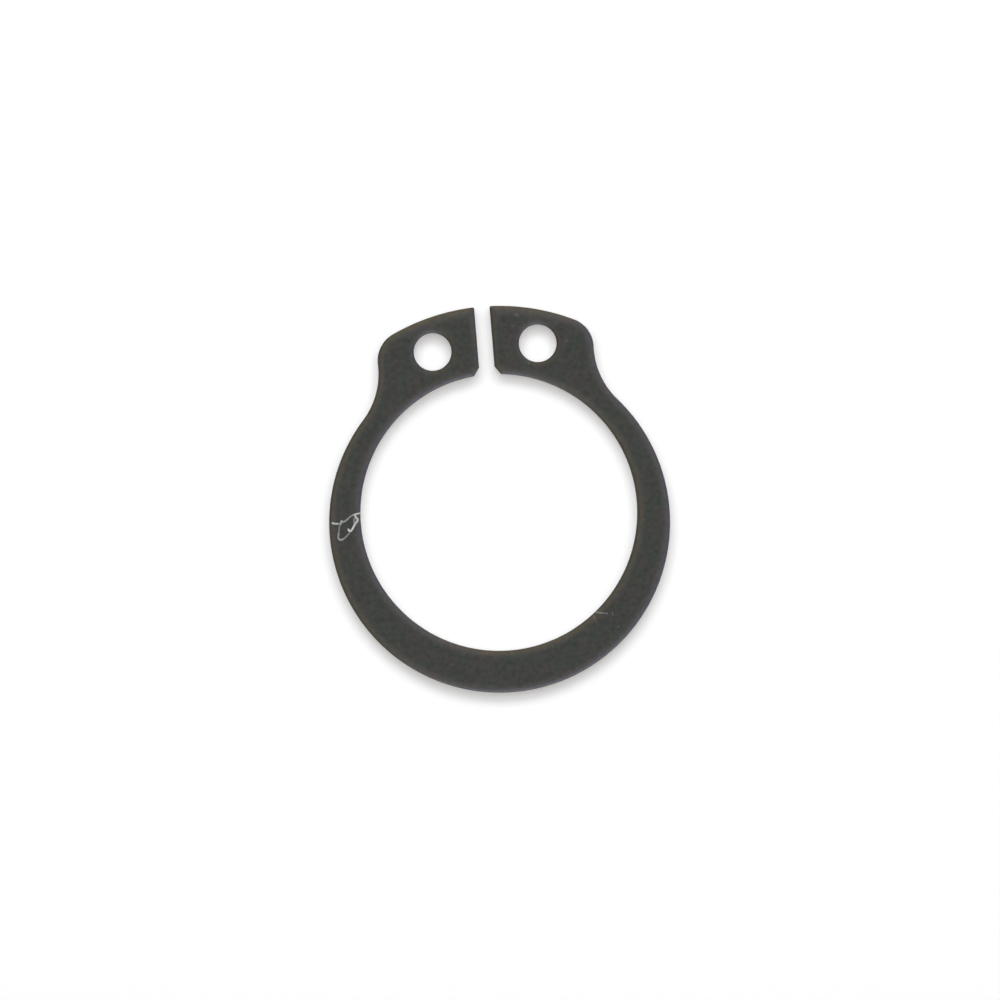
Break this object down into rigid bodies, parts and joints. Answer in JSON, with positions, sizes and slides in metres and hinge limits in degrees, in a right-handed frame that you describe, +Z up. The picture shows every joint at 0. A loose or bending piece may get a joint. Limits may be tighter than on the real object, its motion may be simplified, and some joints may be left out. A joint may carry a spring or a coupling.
{
  "type": "circlip retaining ring",
  "caption": "Flat tapering spring-steel ring, open at a narrow gap between drilled lugs, that snaps into a groove on a shaft and holds a bearing or wheel in place.",
  "frame": {"origin": "on the bore axis, at the height of the lower face that the ring lies on", "axes": "+Z up along the bore axis through the thickness, +Y from the bore axis to the gap between the lugs"},
  "size_m": [0.018, 0.0206, 0.001],
  "materials": {
    "phosphated_steel": "dark grey phosphate with oil, fine mottling, satin"
  },
  "bodies": {
    "root": {"ring": "phosphated_steel"}
  },
  "joints": []
}
